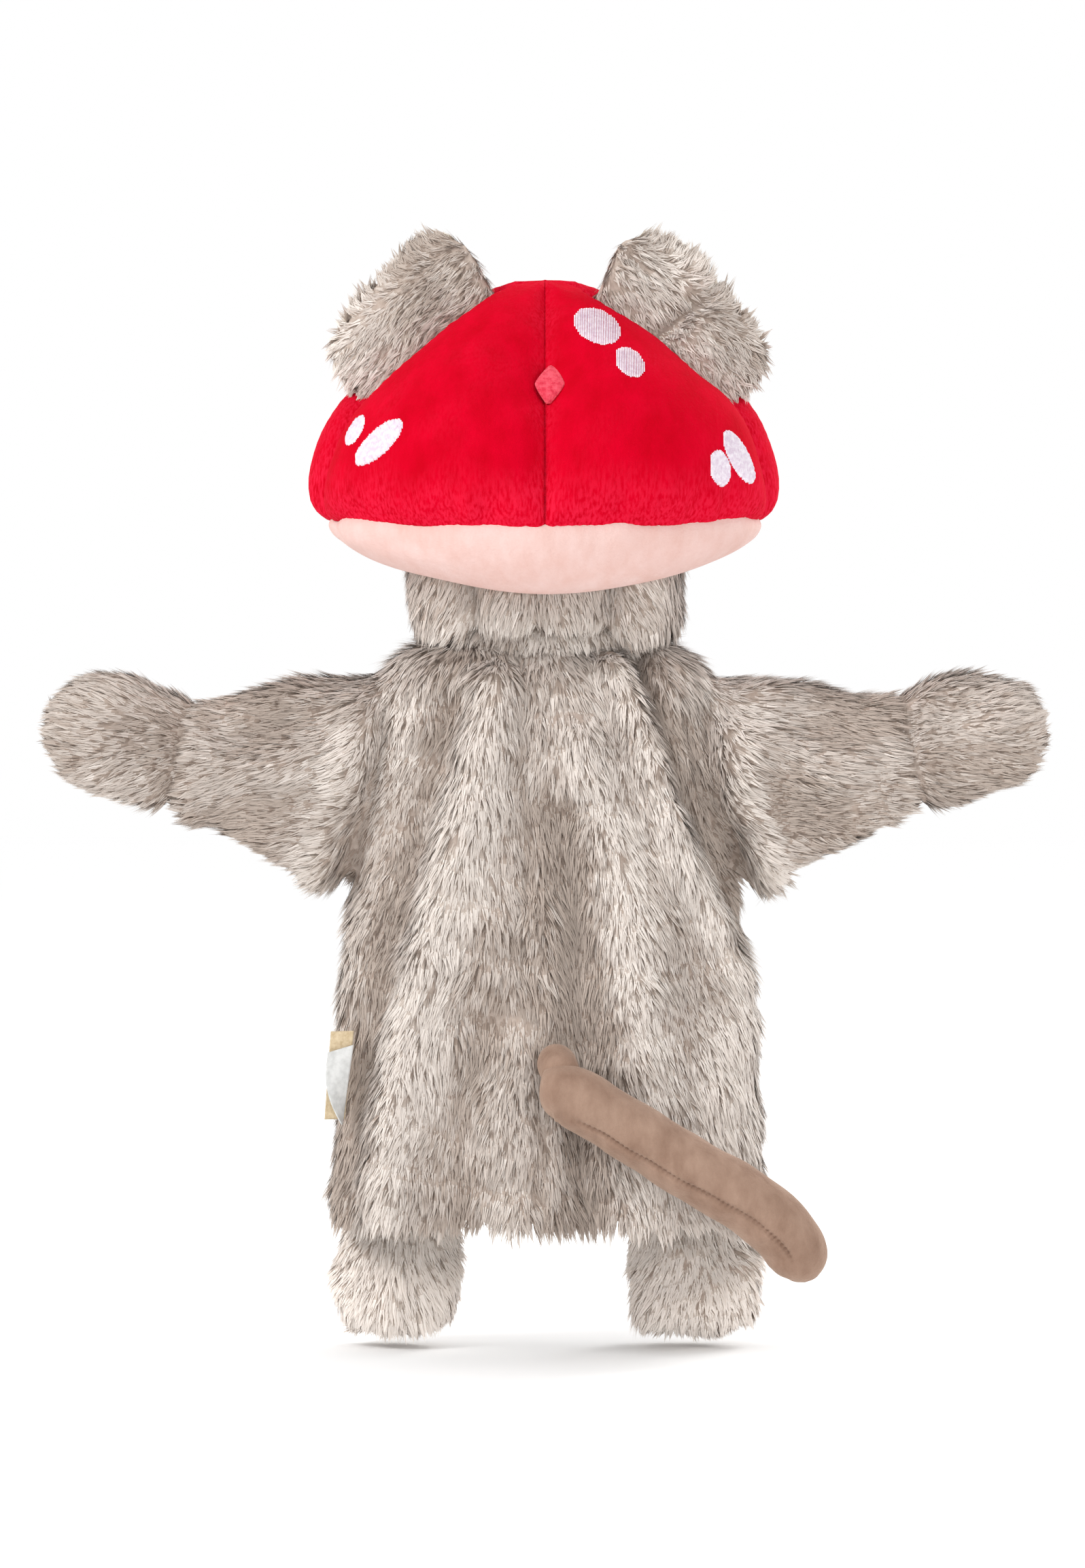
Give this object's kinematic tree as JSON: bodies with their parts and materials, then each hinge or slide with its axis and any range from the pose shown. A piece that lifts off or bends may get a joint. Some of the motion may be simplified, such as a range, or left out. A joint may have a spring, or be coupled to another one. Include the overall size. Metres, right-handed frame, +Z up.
{
  "type": "glove puppet",
  "caption": "Plush glove puppet of a long-tailed mouse in a stuffed toadstool cap, with hollow arms, a finger pocket in the head and soft feet",
  "frame": {"origin": "centre of the wrist opening, level with the hem", "axes": "+Z up from the wrist opening to the head, the face looks along -Y, the tail is at +Y, +X is the puppet's left arm"},
  "size_m": [0.29, 0.1018, 0.3229],
  "materials": {
    "grey_plush": "long-pile plush, combed and mottled",
    "cream_plush": "short cream plush",
    "red_velboa": "short-pile velboa with a soft sheen",
    "pink_velboa": "short-pile velboa",
    "tail_velboa": "brown short-pile velboa",
    "nose_velboa": "pink velboa",
    "eye_thread": "dark satin-stitched thread",
    "stuffing": "white polyester fibre",
    "lining": "thin woven lining",
    "loop_tape": "woven tape",
    "cotton_tape": "cotton twill tape",
    "satin": "white woven satin"
  },
  "bodies": {
    "torso": {"back_panel": "grey_plush", "front_panel": "grey_plush", "hand_lining": "lining"},
    "neck": {"neck_band": "grey_plush"},
    "head": {"head_back": "grey_plush", "head_front": "grey_plush", "head_stuffing": "stuffing", "finger_pocket": "lining", "muzzle": "cream_plush", "nose": "nose_velboa", "eye_left": "eye_thread", "eye_right": "eye_thread", "cap_back_left": "red_velboa", "cap_back_right": "red_velboa", "cap_front": "red_velboa", "cap_underside": "pink_velboa", "cap_stuffing": "stuffing", "hanging_loop": "loop_tape"},
    "tail_fold": {"tail_base": "tail_velboa"},
    "tail": {"tail": "tail_velboa", "tail_stuffing": "stuffing"},
    "label_tape": {"label_tape": "cotton_tape"},
    "care_label": {"care_label": "satin"},
    "shoulder_left": {"sleeve_head_left": "grey_plush"},
    "arm_left": {"sleeve_left": "grey_plush"},
    "paw_left": {"paw_left": "grey_plush", "paw_left_stuffing": "stuffing"},
    "foot_left": {"foot_left": "grey_plush", "foot_left_stuffing": "stuffing"},
    "ear_left": {"ear_back_left": "grey_plush", "ear_lining_left": "cream_plush"},
    "shoulder_right": {"sleeve_head_right": "grey_plush"},
    "arm_right": {"sleeve_right": "grey_plush"},
    "paw_right": {"paw_right": "grey_plush", "paw_right_stuffing": "stuffing"},
    "foot_right": {"foot_right": "grey_plush", "foot_right_stuffing": "stuffing"},
    "ear_right": {"ear_back_right": "grey_plush", "ear_lining_right": "cream_plush"}
  },
  "joints": [
    {"name": "head_turn", "type": "hinge", "parent": "torso", "child": "neck", "pos_m": [0, 0, 0.167], "axis": [0, 0, 1], "range_deg": [-40, 40]},
    {"name": "head_nod", "type": "hinge", "parent": "neck", "child": "head", "pos_m": [0, 0, 0.195], "axis": [1, 0, 0], "range_deg": [-20, 16]},
    {"name": "ear_fold_left", "type": "hinge", "parent": "head", "child": "ear_left", "pos_m": [0.03425, 0, 0.25785], "axis": [0.7842, 0, -0.6205], "range_deg": [-35, 35], "stiffness_Nm_per_rad": 0.002},
    {"name": "arm_swing_left", "type": "hinge", "parent": "torso", "child": "shoulder_left", "pos_m": [0.042, 0, 0.127], "axis": [0, 0, -1], "range_deg": [-15, 55]},
    {"name": "arm_lift_left", "type": "hinge", "parent": "shoulder_left", "child": "arm_left", "pos_m": [0.042, 0, 0.127], "axis": [0, -1, 0], "range_deg": [-20, 30]},
    {"name": "paw_bend_left", "type": "hinge", "parent": "arm_left", "child": "paw_left", "pos_m": [0.112, 0, 0.136], "axis": [0, -1, 0], "range_deg": [-28, 28], "stiffness_Nm_per_rad": 0.03},
    {"name": "foot_swing_left", "type": "hinge", "parent": "torso", "child": "foot_left", "pos_m": [0.0436, -0.013, -0.0046], "axis": [1, 0, 0], "range_deg": [-45, 45]},
    {"name": "ear_fold_right", "type": "hinge", "parent": "head", "child": "ear_right", "pos_m": [-0.03425, 0, 0.25785], "axis": [-0.7842, 0, -0.6205], "range_deg": [-35, 35], "stiffness_Nm_per_rad": 0.002},
    {"name": "arm_swing_right", "type": "hinge", "parent": "torso", "child": "shoulder_right", "pos_m": [-0.042, 0, 0.127], "axis": [0, 0, 1], "range_deg": [-15, 55]},
    {"name": "arm_lift_right", "type": "hinge", "parent": "shoulder_right", "child": "arm_right", "pos_m": [-0.042, 0, 0.127], "axis": [0, 1, 0], "range_deg": [-20, 30]},
    {"name": "paw_bend_right", "type": "hinge", "parent": "arm_right", "child": "paw_right", "pos_m": [-0.112, 0, 0.136], "axis": [0, 1, 0], "range_deg": [-28, 28], "stiffness_Nm_per_rad": 0.03},
    {"name": "foot_swing_right", "type": "hinge", "parent": "torso", "child": "foot_right", "pos_m": [-0.0436, -0.013, -0.0046], "axis": [1, 0, 0], "range_deg": [-45, 45]},
    {"name": "tail_swing", "type": "hinge", "parent": "torso", "child": "tail_fold", "pos_m": [-0.002, 0.029, 0.045], "axis": [0, 1, 0], "range_deg": [-100, 25]},
    {"name": "tail_lift", "type": "hinge", "parent": "tail_fold", "child": "tail", "pos_m": [-0.004, 0.0344, 0.0418], "axis": [0.6, 0, -0.8], "range_deg": [0, 50]},
    {"name": "label_flap", "type": "hinge", "parent": "torso", "child": "label_tape", "pos_m": [0.0556, 0.0136, 0.042], "axis": [0, 0, 1], "range_deg": [-20, 70]},
    {"name": "care_label_flap", "type": "hinge", "parent": "label_tape", "child": "care_label", "pos_m": [0.0554, 0.01465, 0.0415], "axis": [0, 0, 1], "range_deg": [0, 60]}
  ]
}
